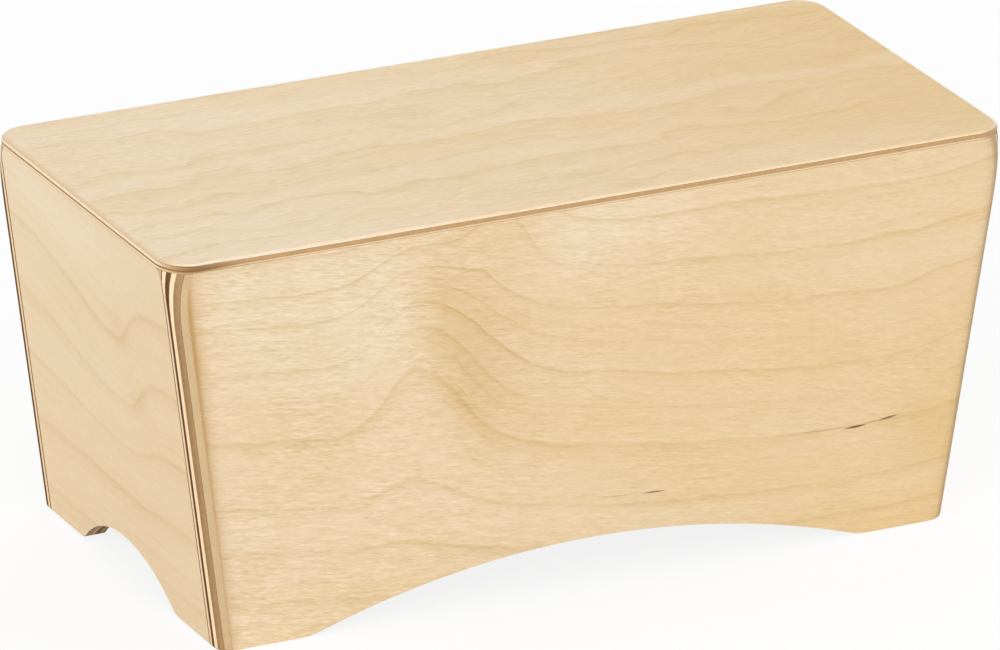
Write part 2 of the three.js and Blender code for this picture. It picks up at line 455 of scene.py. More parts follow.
@built_once
def soft_hump():
    """A smooth hill over the veneer, longer on one side of its peak than on the other."""
    inputs = sockets("Along, Across, Height, Centre, Level, Before, After, Spread, Lean")
    nodes, given, out = new_group("Soft hump", inputs, sockets("Rise"))
    height = nodes.minus(given.across, given.level)
    peak = nodes.times_plus(height, given.lean, given.centre)
    offset = nodes.minus(given.along, peak)
    reach = nodes.blend(nodes.math("LESS_THAN", offset, 0.0), given.after, given.before)
    along = nodes.math("POWER", nodes.over(offset, reach), 2.0)
    across = nodes.math("POWER", nodes.over(height, given.spread), 2.0)
    fall = nodes.math("EXPONENT", nodes.times(nodes.plus(along, across), -1.0))
    nodes.fill(out, Rise=nodes.times(given.height, fall))
    return nodes.tree


# Noise over a veneer: waves to the metre along and across the grain, where it is taken, and its detail
Waves = namedtuple("Waves", "along across step detail", defaults=(2.0,))
SWAY = Waves(6, 16, 0.0)
RIPPLE = Waves(20, 46, 26.8)
WANDER = Waves(45, 80, 3.1)
LINE_FADE = Waves(13, 35, 5.7)
FINE_FADE = Waves(14, 60, 8.3)
BANDS = Waves(2.5, 55, 11.9)
CLOUD = Waves(9, 16, 14.2)
SHIMMER = Waves(40, 26, 29.3)
FIBRE = Waves(120, 800, 17.6, 3.0)
HAIRS = Waves(260, 1600, 20.1, 1.0)
PORES = Waves(190, 1000, 23.5, 1.0)

# Growth lines: how far they wander in their smallest waves, the strength across one, a soft shade that
# darkens towards a thin edge, how they come and go, and the share of its strength that a faint one has
WANDER_SIZE = 2.4 * MM
LINE_SHAPE = ((0.0, 0.0), (0.4, 0.16), (0.68, 0.5), (0.82, 1.0), (0.9, 0.6), (1.0, 0.0))
LINE_SHARE = ((0.36, 0.4), (0.66, 1.0))
FAINT = 0.4

# Rings between them that only just show: their spacing, their sway and the width of their lines as shares of
# it, and how they come and go
FINE_RING = 6.8 * MM
FINE_SWAY = 0.8
FINE_WIDTH = 0.45
FINE_SHARE = ((0.44, 0.0), (0.72, 0.6))

# Where the noise is high enough for a pore, and how dark pores are
PORE_EDGE = ((0.68, 0.0), (0.78, 1.0))
PORE_INK = 0.14

# How much bands, clouds and fibres change the warmth, and fibres, hairs and clouds the light
BAND_TINT, CLOUD_TINT, FIBRE_TINT = 0.5, 0.55, 0.1
FIBRE_LIGHT, HAIR_LIGHT, CLOUD_LIGHT = 0.3, 0.22, 0.06

# How far that light shifts red, green and blue, and how much its contrast changes over the sheet
FIBRE_SWING = (0.9, 1.2, 2.3)
SHIMMER_SHARE = 1.6


def veneer_noise(nodes, given):
    """A maker of noise that goes with the seed of a veneer."""

    def spread(waves, across=given.across):
        """One noise, over the place across the grain or over a bent one."""
        seed = nodes.plus(given.seed, waves.step)
        return nodes.waves((given.along, across, seed), (waves.along, waves.across, 1.0), waves.detail)

    return spread


@built_once
def grain_level():
    """How high in the sheet a place lies, once its growth lines are bent and made to wander."""
    inputs = sockets("Along, Across, Rise, Seed, Sway, Ripple")
    nodes, given, out = new_group("Grain level", inputs, sockets("Level"))
    spread = veneer_noise(nodes, given)
    level = nodes.about(
        nodes.minus(given.across, given.rise), (spread(SWAY), given.sway),
        (spread(RIPPLE), given.ripple), (spread(WANDER), WANDER_SIZE),
    )
    nodes.fill(out, Level=level)
    return nodes.tree


def growth_rings(nodes, level, figure):
    """The growth ring that a level lies in, a whole number at each line, and how strong its next line is."""
    first, last = figure.levels[0], figure.levels[-1]
    count = len(figure.levels) - 1
    place = nodes.over(nodes.minus(level, first * MM), (last - first) * MM)
    starts = [(height - first) / (last - first) for height in figure.levels]
    ring = nodes.ramp(place, [(start, number / count) for number, start in enumerate(starts)])
    shares = [FAINT if height in figure.faint else 1.0 for height in figure.levels[1:]]
    share_here = nodes.ramp(place, list(zip(starts, shares)), "CONSTANT")
    return nodes.times(ring, float(count)), nodes.times(share_here, figure.strength)


@built_once
def birch_veneer():
    """Colour, growth lines, pores and fibre of a sheet of birch, by the place along and across its grain."""
    inputs = sockets("Along, Across, Level, Ring, Seed, Warmth, Mottle, Shade, Strength, Width, Tilt, Grain")
    inputs.update(sockets("Sapwood, Heartwood, Latewood", COLOUR))
    outputs = {"Color": COLOUR, **sockets("Lines, Pores, Fibre")}
    nodes, given, out = new_group("Birch veneer", inputs, outputs)
    spread = veneer_noise(nodes, given)
    level = given.level
    fibres = nodes.minus(given.across, nodes.times(given.along, given.tilt))

    def line(ring, width):
        """Growth lines that each take a share of a ring."""
        edge = nodes.minus(nodes.math("FRACT", ring), nodes.minus(1.0, width))
        return nodes.ramp(nodes.over(edge, width, clamp=True), LINE_SHAPE)

    def chosen(noise, stops):
        """Noise turned into another value by a few stops, where 0.5 is its middle."""
        return nodes.ramp(nodes.about(0.5, (noise, 1.0)), stops)

    lines = nodes.times(line(given.ring, given.width), chosen(spread(LINE_FADE, level), LINE_SHARE))
    fine_ring = nodes.about(0.0, (level, 1 / FINE_RING), (spread(SWAY), FINE_SWAY))
    fine_share = chosen(spread(FINE_FADE, level), FINE_SHARE)
    lines = nodes.times_plus(line(fine_ring, FINE_WIDTH), fine_share, lines, clamp=True)
    pores = chosen(spread(PORES, fibres), PORE_EDGE)
    bands = spread(BANDS, level)
    cloud, shimmer, fibre, hairs = (spread(waves, fibres) for waves in (CLOUD, SHIMMER, FIBRE, HAIRS))

    mottle = nodes.about(0.0, (bands, BAND_TINT), (cloud, CLOUD_TINT), (fibre, FIBRE_TINT))
    tint = nodes.times_plus(mottle, given.mottle, given.warmth, clamp=True)
    shade = nodes.mix(tint, given.sapwood, given.heartwood)
    ink = nodes.times(lines, nodes.plus(given.strength, given.shade))
    shade = nodes.mix(nodes.plus(ink, given.shade, clamp=True), shade, given.latewood)
    shade = nodes.mix(nodes.times(pores, PORE_INK), shade, given.latewood)
    contrast = nodes.times(given.grain, nodes.about(1.0, (shimmer, SHIMMER_SHARE)))
    swing = nodes.about(0.0, (fibre, FIBRE_LIGHT), (hairs, HAIR_LIGHT), (cloud, CLOUD_LIGHT))
    swing = nodes.scaled(FIBRE_SWING, nodes.times(swing, contrast))
    shade = nodes.vector("MULTIPLY", shade, nodes.vector("ADD", swing, (1, 1, 1)))
    nodes.fill(out, Color=shade, Lines=lines, Pores=pores, Fibre=fibre)
    return nodes.tree


# A fleck: waves to the metre of its waver, how far that goes, half the width of its tips, and its soft edge
FLECK_WAVES = 160
FLECK_WAVER = 0.8 * MM
FLECK_TIP = 0.02 * MM
FLECK_EDGE = 1.5


@built_once
def mineral_fleck():
    """Mask of one thin dark fleck that lies in the veneer."""
    inputs = sockets("Along, Across, Centre, Level, Slope, Length, Width, Strength")
    nodes, given, out = new_group("Mineral fleck", inputs, sockets("Mask"))
    offset = nodes.minus(given.along, given.centre)
    half_length, half_width = (nodes.times(size, 0.5) for size in (given.length, given.width))
    ends = nodes.math("POWER", nodes.over(nodes.unsigned(offset), half_length), 2.0)
    taper = nodes.minus(1.0, ends, clamp=True)
    line = nodes.times_plus(offset, given.slope, given.level)
    waver = nodes.waves((offset, 0.0, given.level), (FLECK_WAVES, 1.0, 1.0))
    gap = nodes.minus(given.across, nodes.about(line, (waver, FLECK_WAVER)))
    edge = nodes.over(nodes.unsigned(gap), nodes.about(FLECK_TIP, (half_width, taper)))
    mask = nodes.times(nodes.minus(FLECK_EDGE, edge, clamp=True), taper)
    nodes.fill(out, Mask=nodes.times(mask, given.strength))
    return nodes.tree


@built_once
def ply_layers(plies):
    """The ply that a depth lies in: if its grain runs across, its tone, if it is a face, and its glue."""
    outputs = sockets("Cross, Tone, Face, Glue")
    nodes, given, out = new_group(f"{len(plies)} plies", sockets("Depth"), outputs)
    total = sum(ply.thick for ply in plies)
    depth = nodes.over(given.depth, total * MM, clamp=True)
    stops = []
    seams = [(0.0, 0.0)]
    start = 0.0
    for number, ply in enumerate(plies):
        face = 1.0 if number in (0, len(plies) - 1) else 0.0
        stops.append((start / total, (ply.cross, ply.tone, face)))
        if number:
            seam = ((start - RESIN_RISE, 0.0), (start, 1.0), (start + ply.resin, 0.0))
            seams += [(place / total, level) for place, level in seam]
        start += ply.thick
    cross, tone, face = nodes.separate(nodes.ramp(depth, stops, "CONSTANT"))
    nodes.fill(out, Cross=cross, Tone=tone, Face=face, Glue=nodes.ramp(depth, seams))
    return nodes.tree


# How much end grain shows as a cut turns from along the fibres to straight across them
END_ON = ((0.03, 0.0), (0.16, 0.14), (0.42, 0.6), (0.9, 0.95), (1.0, 1.0))

# The specks and streaks of a cut edge: waves to the metre, and how much they change the light of long grain
SPECK_WAVES = (700, 700, 450)
STREAK_WAVES = (300, 300, 300)
SPECK_LIGHT = 0.12
STREAK_LIGHT = 0.14

# How much specks change the light of end grain, on a panel and on the rim of the plate
SPECKLE = 1.1
RIM_SPECKLE = 0.4

# How fully a glue line covers the wood
GLUE_COVER = 0.65


@built_once
def ply_edge():
    """Colour of the cut edge of a ply: streaky along its grain, brown and speckled across it."""
    inputs = {"Place": PLACE, **sockets("Cross, Tone, Glue, Speckle, Along Normal, Across Normal")}
    inputs.update(sockets("Long Grain, Dark Long Grain, End Grain, Dark End Grain, Glue Line", COLOUR))
    outputs = {"End On": VALUE, **sockets("Color, End Color", COLOUR)}
    nodes, given, out = new_group("Ply edge", inputs, outputs)
    facing = nodes.blend(given.cross, given.along_normal, given.across_normal)
    end_on = nodes.ramp(facing, END_ON)
    axes = nodes.separate(given.place)
    speck = nodes.waves(axes, SPECK_WAVES, detail=3.0)
    streak = nodes.waves(axes, STREAK_WAVES)
    long_grain = nodes.mix(given.tone, given.long_grain, given.dark_long_grain)
    long_grain = nodes.scaled(long_grain, nodes.about(1.0, (streak, STREAK_LIGHT), (speck, SPECK_LIGHT)))
    end_grain = nodes.mix(given.tone, given.end_grain, given.dark_end_grain)
    end_grain = nodes.scaled(end_grain, nodes.about(1.0, (speck, given.speckle)))
    shade = nodes.mix(end_on, long_grain, end_grain)
    shade = nodes.mix(nodes.times(given.glue, GLUE_COVER, clamp=True), shade, given.glue_line)
    nodes.fill(out, Color=shade, End_On=end_on, End_Color=end_grain)
    return nodes.tree


# Gloss of the wood, and how rough lacquered and raw boards are
SPECULAR = 0.3
LACQUER = 0.42
BARE_WOOD = 0.66

# How much rougher end grain, growth lines and fibres are, how high pores, lines and fibres stand, and how
# strongly and over what height that shows
END_ROUGH, LINE_ROUGH, FIBRE_ROUGH = 0.16, 0.05, 0.12
PORE_RELIEF, LINE_RELIEF, FIBRE_RELIEF = -1.0, -0.6, 1.0
RELIEF_STRENGTH = 0.25
RELIEF_HEIGHT = 0.04 * MM

# The waver of the plies, waves to the metre and how far it goes, and the step to the inner face's own noise
PLY_WAVES = (700, 700, 1)
PLY_WAVER = 0.2 * MM
INNER_SEED = 31.0


def new_material(name):
    """An empty material, with its nodes and its Principled shader."""
    material = bpy.data.materials.new(name)
    material.use_nodes = True
    shader = material.node_tree.nodes["Principled BSDF"]
    shader.inputs["Specular IOR Level"].default_value = SPECULAR
    return material, Nodes(material.node_tree), shader


def in_metres(row, **plain):
    """A row of millimetres as values for a group's inputs, apart from those that stay plain."""
    return {**{name.title(): size * MM for name, size in row._asdict().items()}, **plain}


class Board:
    """How a board lies: where its outer face is and which way its grain, its width and its depth run."""

    def __init__(self, name, face_point, along, across, inward, plies):
        self.name = name
        self.face_point = Vector(face_point)
        axes = (along, across, inward)
        self.along, self.across, self.inward = (Vector(axis).normalized() for axis in axes)
        self.plies = plies
        self.middle = sum(ply.thick for ply in plies) * MM / 2


class Plywood:
    """Birch plywood right through a board: face veneers with their figure, and plies wherever it is cut."""

    speckle = SPECKLE

    def __init__(self, board, figure, colours, finish=LACQUER):
        self.board, self.figure, self.colours, self.finish = board, figure, colours, finish
        self.end_grain = colours.end_grain
        self.material, self.nodes, self.shader = new_material(board.name + "_plywood")
        nodes = self.nodes
        place = nodes.add("ShaderNodeTexCoord").outputs["Object"]
        self.place = nodes.vector("SUBTRACT", place, board.face_point)
        self.normal = nodes.add("ShaderNodeNewGeometry").outputs["Normal"]
        self.along, self.across, self.depth = (
            nodes.dot(self.place, axis) for axis in (board.along, board.across, board.inward)
        )
        self.inner = nodes.math("GREATER_THAN", self.depth, board.middle)
        self.rougher = []  # pairs of what makes the surface rougher, and how much

    def facing(self, axis):
        """How squarely the surface faces along an axis, from 0 to 1."""
        return self.nodes.unsigned(self.nodes.dot(self.normal, axis))

    def piled(self, total, humps, unit=1.0):
        """A value with humps on it."""
        for hump in humps:
            sizes = in_metres(hump, Height=hump.height * unit, Lean=hump.lean)
            rise = self.nodes.group(soft_hump(), Along=self.along, Across=self.across, **sizes)["Rise"]
            total = self.nodes.plus(total, rise)
        return total

    def sanded(self, depth):
        """The depth in the plies, once the board is sanded."""
        return depth

    def stained(self, layers):
        """The tone of the plies and the glue between them."""
        return layers["Tone"], layers["Glue"]

    def worn(self, face, is_face, cut):
        """The colour of the face, where it shows, and how much of the end grain under it shows."""
        return face, is_face, cut

    def edge(self, layers):
        """The cut edge of the plies."""
        board, colours = self.board, self.colours
        tone, glue = self.stained(layers)
        return self.nodes.group(
            ply_edge(), Place=self.place, Cross=layers["Cross"], Tone=tone, Glue=glue, Speckle=self.speckle,
            Along_Normal=self.facing(board.along), Across_Normal=self.facing(board.across),
            Long_Grain=colours.cross_ply, Dark_Long_Grain=colours.olive_ply, End_Grain=self.end_grain,
            Dark_End_Grain=colours.dark_end_grain, Glue_Line=colours.glue,
        )

    def veneer(self):
        """The face veneer with its figure, which differs on the inner face."""
        nodes, figure, colours = self.nodes, self.figure, self.colours
        seed = nodes.times_plus(self.inner, INNER_SEED, figure.seed)
        place = dict(Along=self.along, Across=self.across, Seed=seed)
        level = nodes.group(
            grain_level(), Rise=self.piled(0.0, figure.humps, MM), Sway=figure.sway * MM,
            Ripple=figure.ripple * MM, **place,
        )["Level"]
        ring, strength = growth_rings(nodes, level, figure)
        warmth = nodes.times_plus(self.along, figure.drift, figure.warmth)
        return nodes.group(
            birch_veneer(), Level=level, Ring=ring, Warmth=self.piled(warmth, figure.patches),
            Mottle=figure.mottle, Shade=self.piled(0.0, figure.shades), Strength=strength,
            Width=figure.width, Tilt=figure.tilt,
            Grain=nodes.times_plus(self.along, figure.fade, figure.grain),
            Sapwood=colours.sapwood, Heartwood=colours.heartwood, Latewood=colours.latewood, **place,
        )

    def flecked(self, face):
        """The face with its mineral flecks."""
        for fleck in self.figure.flecks:
            sizes = in_metres(fleck, Slope=fleck.slope, Strength=fleck.strength)
            mask = self.nodes.group(mineral_fleck(), Along=self.along, Across=self.across, **sizes)["Mask"]
            face = self.nodes.mix(mask, face, self.colours.mineral)
        return face

    def build(self):
        """Joins it all to the shader, and hands over the material."""
        nodes = self.nodes
        waver = nodes.waves((self.along, self.across, self.figure.seed), PLY_WAVES, detail=4.0)
        self.ply_depth = self.sanded(nodes.about(self.depth, (waver, PLY_WAVER)))
        layers = nodes.group(ply_layers(self.board.plies), Depth=self.ply_depth)
        edge, veneer = self.edge(layers), self.veneer()
        lines, pores, fibre = veneer["Lines"], veneer["Pores"], veneer["Fibre"]
        self.rougher += [(edge["End On"], END_ROUGH), (lines, LINE_ROUGH), (fibre, FIBRE_ROUGH)]
        face, is_face, cut = self.worn(self.flecked(veneer["Color"]), layers["Face"], edge["End On"])
        shade = nodes.mix(is_face, edge["Color"], nodes.mix(cut, face, edge["End Color"]))
        if self.finish == LACQUER:
            self.rougher.append((self.inner, BARE_WOOD - LACQUER))
        height = nodes.about(0.0, (pores, PORE_RELIEF), (lines, LINE_RELIEF), (fibre, FIBRE_RELIEF))
        relief = nodes.add("ShaderNodeBump")
        nodes.fill(relief, Strength=RELIEF_STRENGTH, Distance=RELIEF_HEIGHT, Height=height)
        roughness = nodes.about(self.finish, *self.rougher)
        nodes.fill(self.shader, Base_Color=shade, Roughness=roughness, Normal=relief.outputs[0])
        return self.material


# A long panel's left edge: how thin its veneer is sanded, over a width that grows with the height
SANDED_WIDTH = 14 * MM
SANDED_TAPER = 0.018
SANDED = ((0.33, 0.8), (0.36, 0.7), (0.43, 0.42), (0.5, 0.28), (0.57, 0.19), (0.71, 0.07), (0.85, 0.0))

# How much deeper its plies lie where it swells towards the top, and how that grows with the height
SWELL = 0.25 * MM
SWOLLEN = ((0.84, 0.0), (0.92, 0.3), (1.0, 1.0))

# Its right edge keeps its veneer: how deep the pale wood goes there, where that begins and is full on the
# way from the middle, the share of its end grain that shows, and how thin the veneer gets with the depth
SOUND_DEPTH = 3.4 * MM
SOUND = ((0.8, 0.0), (0.95, 1.0))
SOUND_END = 0.35
SOUND_THIN = ((0.17, 0.0), (0.21, 0.28))


class PanelPlywood(Plywood):
    """Plywood of a long panel, which is rounded over at its upright edges."""

    def sanded(self, depth):
        """The plies lie deeper where the edges swell."""
        swollen = self.nodes.ramp(self.nodes.over(self.across, PLATE_LOW.z), SWOLLEN)
        return self.nodes.about(depth, (swollen, -SWELL))

    def worn(self, face, is_face, cut):
        """The left edge is sanded thin, and the right one keeps its veneer."""
        nodes, thin_veneer = self.nodes, self.colours.thin_veneer
        limit = nodes.times_plus(self.across, LEAN - SANDED_TAPER, FLOOR_HALF_LENGTH)
        border = nodes.over(nodes.plus(limit, self.along), SANDED_WIDTH)
        face = nodes.mix(nodes.ramp(border, SANDED), face, thin_veneer)
        sound = nodes.ramp(nodes.over(self.along, FLOOR_HALF_LENGTH), SOUND)
        sound = nodes.times(sound, nodes.math("LESS_THAN", self.ply_depth, SOUND_DEPTH))
        thin = nodes.ramp(nodes.over(self.ply_depth, SOUND_DEPTH), SOUND_THIN)
        face = nodes.mix(nodes.times(sound, thin), face, thin_veneer)
        return face, nodes.larger(is_face, sound), nodes.times(cut, nodes.blend(sound, 1.0, SOUND_END))


# The plate's rim: how pale the face gets as it turns over, partly sanded wood and partly a painted
# highlight, the share of its end grain that shows, how much smoother it is, how level the face still is, how
# the lacquer lies as it gets level, and its roughness
TURNED_PALE_AND_HIGHLIGHT = ((0.06, 0.0), (0.3, 0.8), (1.0, 1.0))
RIM_END = 0.8
RIM_POLISH = -0.18
LEVEL = 0.97
RIM_COAT = ((0.5, 0.0), (0.75, 1.0), (0.95, 1.0), (0.99, 0.0))
COAT_ROUGHNESS = 0.14

# The near corner of the rim is sanded deeper into its plies, and is darker brown there, in the glue lines'
# colour
SANDED_CORNER = Hump(height=0.3, centre=-188, level=-86, before=16, after=30, spread=18)
BROWN_CORNER = Hump(height=1.2, centre=-188, level=-88, before=12, after=16, spread=10)

# Its left end is sanded deeper too: where that is, how deep if upright, and how much darker its end grain is
RIM_LEFT = Hump(height=1.0, centre=-200, level=0, before=50, after=4, spread=400)
LEFT_DEPTH = 0.7 * MM
LEFT_TONE = 0.5


class PlatePlywood(Plywood):
    """Plywood of the playing plate, which is rounded over into a lacquered rim."""

    speckle = RIM_SPECKLE

    def __init__(self, board, figure, colours):
        super().__init__(board, figure, colours)
        self.end_grain = colours.rim_end_grain
        self.level = self.facing(board.inward)
        self.upright = self.nodes.minus(1.0, self.level)
        self.left = self.piled(0.0, (RIM_LEFT,))

    def sanded(self, depth):
        """The rim is sanded deeper at its near corner and its left end."""
        depth = self.piled(depth, (SANDED_CORNER,), MM)
        return self.nodes.about(depth, (self.nodes.times(self.left, self.upright), LEFT_DEPTH))

    def stained(self, layers):
        """End grain is darker at the left end, and the near corner is darker brown, in the glue lines'
        colour.
        """
        nodes = self.nodes
        pale = nodes.larger(layers["Cross"], layers["Face"])
        dark_left = nodes.times(self.left, nodes.minus(1.0, pale))
        tone = nodes.about(layers["Tone"], (dark_left, LEFT_TONE))
        return tone, self.piled(layers["Glue"], (BROWN_CORNER,))

    def worn(self, face, is_face, cut):
        """The face turns pale and smooth into the lacquered rim; the paleness is partly sanded wood, partly
        a painted highlight.
        """
        nodes = self.nodes
        turned = nodes.ramp(self.upright, TURNED_PALE_AND_HIGHLIGHT)
        self.rougher.append((turned, RIM_POLISH))
        nodes.fill(self.shader, Coat_Weight=nodes.ramp(self.level, RIM_COAT), Coat_Roughness=COAT_ROUGHNESS)
        # Paler towards the rim: partly sanded wood, partly a painted highlight
        face = nodes.mix(turned, face, self.colours.cross_ply)
        is_face = nodes.larger(is_face, nodes.math("GREATER_THAN", self.level, LEVEL))
        return face, is_face, nodes.times(cut, nodes.blend(self.inner, RIM_END, 1.0))


# Raw pine: waves to the metre of its sway and its fibres, rings to the metre and how far they sway, the
# strength across a ring, how dark its line is, how much fibres change the light, its roughness, how much
# smoother a line is, and how strongly and over what height its fibres stand out
PINE_SWAY_WAVES = (40, 40, 9)
PINE_FIBRE_WAVES = (1900, 1900, 60)
PINE_RINGS = 330
PINE_SWAY = 2.2
PINE_RING_SHAPE = ((0.0, 0.0), (0.45, 0.05), (0.92, 0.8), (1.0, 0.0))
PINE_INK = 0.7
PINE_LIGHT = 0.16
PINE_ROUGHNESS = 0.78
PINE_LINE_POLISH = -0.12
PINE_RELIEF_STRENGTH = 0.3
PINE_RELIEF_HEIGHT = 0.05 * MM


def softwood(colours):
    """Raw planed pine for the inner strips, with its growth lines upright."""
    material, nodes, shader = new_material("strip_softwood")
    axes = nodes.separate(nodes.add("ShaderNodeTexCoord").outputs["Object"])
    sway = nodes.waves(axes, PINE_SWAY_WAVES)
    ring = nodes.about(0.5, (nodes.plus(axes[0], axes[1]), PINE_RINGS), (sway, PINE_SWAY))
    lines = nodes.ramp(nodes.math("FRACT", ring), PINE_RING_SHAPE)
    fibre = nodes.waves(axes, PINE_FIBRE_WAVES)
    shade = nodes.mix(nodes.times(lines, PINE_INK), colours.pine, colours.pine_line)
    shade = nodes.scaled(shade, nodes.about(1.0, (fibre, PINE_LIGHT)))
    relief = nodes.add("ShaderNodeBump")
    nodes.fill(relief, Strength=PINE_RELIEF_STRENGTH, Distance=PINE_RELIEF_HEIGHT, Height=fibre)
    roughness = nodes.about(PINE_ROUGHNESS, (lines, PINE_LINE_POLISH))
    nodes.fill(shader, Base_Color=shade, Roughness=roughness, Normal=relief.outputs[0])
    return material


def new_object(name, data):
    """An object at the origin, linked to the scene."""
    obj = bpy.data.objects.new(name, data)
    bpy.context.scene.collection.objects.link(obj)
    return obj


def baked(obj):
    """Applies an object's modifiers and leaves it a plain mesh."""
    graph = bpy.context.evaluated_depsgraph_get()
    evaluated = obj.evaluated_get(graph)
    mesh = bpy.data.meshes.new_from_object(evaluated, preserve_all_data_layers=True, depsgraph=graph)
    mesh.name = obj.name
    obj.modifiers.clear()
    obj.data = mesh
    return obj


def smoothed(obj):
    """Smooth rounded edges between flat faces that stay flat."""
    obj.data.polygons.foreach_set("use_smooth", [True] * len(obj.data.polygons))
    obj.data.set_sharp_from_angle(angle=SHARP)
    weighted = obj.modifiers.new("Flat faces", "WEIGHTED_NORMAL")
    weighted.keep_sharp = True
    return baked(obj)


def seat(obj, material, slot, *nodes):
    """Gives a finished piece its material and its place in the frame."""
    obj.data.materials.clear()
    obj.data.materials.append(material)
    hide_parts(*nodes)
    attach(obj, "root")


def eased_board(node, arris):
    """A copy of a board with its facets merged and its sharp edges sanded round."""
    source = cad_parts[node].data.copy()
    if "custom_normal" in source.attributes:
        source.attributes.remove(source.attributes["custom_normal"])
    mesh = bpy.data.meshes.new("finished_" + node)
    shape = bmesh.new()
    shape.from_mesh(source)
    bpy.data.meshes.remove(source)
    bmesh.ops.remove_doubles(shape, verts=shape.verts, dist=WELD)
    bmesh.ops.dissolve_limit(shape, angle_limit=FLAT, verts=shape.verts, edges=shape.edges)
    sharp = [edge for edge in shape.edges if edge.calc_face_angle(0.0) > SHARP]
    bmesh.ops.bevel(
        shape, geom=sharp, offset=arris, offset_type="OFFSET", segments=ARRIS_STEPS, profile=0.5,
        affect="EDGES", clamp_overlap=False,
    )
    shape.to_mesh(mesh)
    shape.free()
    return smoothed(new_object("finished_" + node, mesh))


class GeometryTree:
    """A Geometry Nodes tree with named inputs, and the modifier that runs it."""

    def __init__(self, name, sizes):
        inputs = {**sockets(sizes), "Material": "NodeSocketMaterial"}
        outputs = {"Geometry": "NodeSocketGeometry"}
        self.nodes, self.given, self.out = new_group(name, inputs, outputs, "GeometryNodeTree")

    def closed(self, bottom, walls):
        """Walls that stand on a bottom face, with that face turned down and joined to them."""
        nodes = self.nodes
        floor = nodes.fill(nodes.add("GeometryNodeFlipFaces"), Mesh=bottom)
        joined = nodes.add("GeometryNodeJoinGeometry")
        for part in (floor.outputs[0], walls):
            nodes.put(part, joined.inputs[0])
        welded = nodes.add("GeometryNodeMergeByDistance")
        return nodes.fill(welded, Geometry=joined.outputs[0], Distance=WELD).outputs[0]

    def finish(self, geometry):
        """Ends the tree: real geometry with its material."""
        nodes = self.nodes
        real = nodes.fill(nodes.add("GeometryNodeRealizeInstances"), Geometry=geometry)
        painted = nodes.add("GeometryNodeSetMaterial")
        nodes.fill(painted, Geometry=real.outputs[0], Material=self.given.material)
        nodes.fill(self.out, Geometry=painted.outputs[0])

    def run(self, name, **values):
        """A plain mesh object made by the tree from these sizes."""
        obj = new_object(name, bpy.data.meshes.new(name))
        modifier = obj.modifiers.new(name, "NODES")
        modifier.node_group = self.nodes.tree
        for item in self.nodes.tree.interface.items_tree:
            if item.in_out == "INPUT":
                modifier[item.identifier] = values[item.name.replace(" ", "_")]
        return baked(obj)


def plate_tree():
    """A board with round corners: its outline is filled, then drawn up ring by ring to the eased rim."""
    tree = GeometryTree(
        "Rounded plate", "Half Length, Half Depth, Bottom, Thickness, Corner, Rim In, Rim Down, Arris"
    )
    nodes, given = tree.nodes, tree.given
    outline = nodes.add("GeometryNodeCurvePrimitiveQuadrilateral", mode="RECTANGLE")
    halves = (given.half_length, given.half_depth)
    nodes.feed(outline, *(nodes.times(half, 2.0) for half in halves))
    rounded = nodes.add("GeometryNodeFilletCurve", mode="POLY")
    nodes.fill(rounded, Curve=outline.outputs[0], Count=CORNER_STEPS, Radius=given.corner)
    filled = nodes.fill(nodes.add("GeometryNodeFillCurve", mode="NGONS"), Curve=rounded.outputs[0])

    place = nodes.vector("MULTIPLY", nodes.add("GeometryNodeInputPosition").outputs[0], (1, 1, 0))
    far_corner = nodes.combine(*(nodes.minus(half, given.corner) for half in halves))
    core = nodes.vector("MAXIMUM", place, nodes.vector("MULTIPLY", far_corner, (-1, -1, 0)))
    core = nodes.vector("MINIMUM", core, far_corner)
    outwards = nodes.vector("NORMALIZE", nodes.vector("SUBTRACT", place, core))

    def ring(geometry, selection, inset, height):
        """Moves a ring to its inset and height, which keeps its corners round."""
        radius = nodes.minus(given.corner, inset)
        target = nodes.vector("ADD", core, nodes.scaled(outwards, radius))
        target = nodes.vector("ADD", target, nodes.combine(0.0, 0.0, height))
        setter = nodes.add("GeometryNodeSetPosition")
        return nodes.fill(setter, Geometry=geometry, Selection=selection, Position=target).outputs[0]

    top = nodes.plus(given.bottom, given.thickness)
    rings = [(0.0, nodes.plus(given.bottom, given.arris))]
    for step in range(RIM_STEPS + 1):
        turn = step / RIM_STEPS * math.pi / 2
        inset = nodes.times(given.rim_in, 1 - math.cos(turn))
        height = nodes.times_plus(given.rim_down, math.sin(turn) - 1, top)
        rings.append((inset, height))
    bottom = ring(filled.outputs[0], True, given.arris, given.bottom)
    walls, upper = bottom, True
    for inset, height in rings:
        drawn = nodes.add("GeometryNodeExtrudeMesh", mode="FACES")
        nodes.fill(drawn, Mesh=walls, Selection=upper, Offset_Scale=0.0, Individual=False)
        upper = drawn.outputs["Top"]
        walls = ring(drawn.outputs["Mesh"], upper, inset, height)
    tree.finish(tree.closed(bottom, walls))
    return tree


class CajonOperator:
    """What the operators share: the user's sizes and colours, and how a board is finished."""

    bl_options = {"REGISTER", "UNDO"}

    @property
    def sizes(self):
        return bpy.context.scene.cajon_sizes

    @property
    def colours(self):
        return bpy.context.scene.cajon_colours

    def finish_board(self, birch, slot):
        """Sands a board's edges and gives it its plywood."""
        node = birch.board.name
        seat(eased_board(node, self.sizes.panel_arris), birch.build(), slot, node)


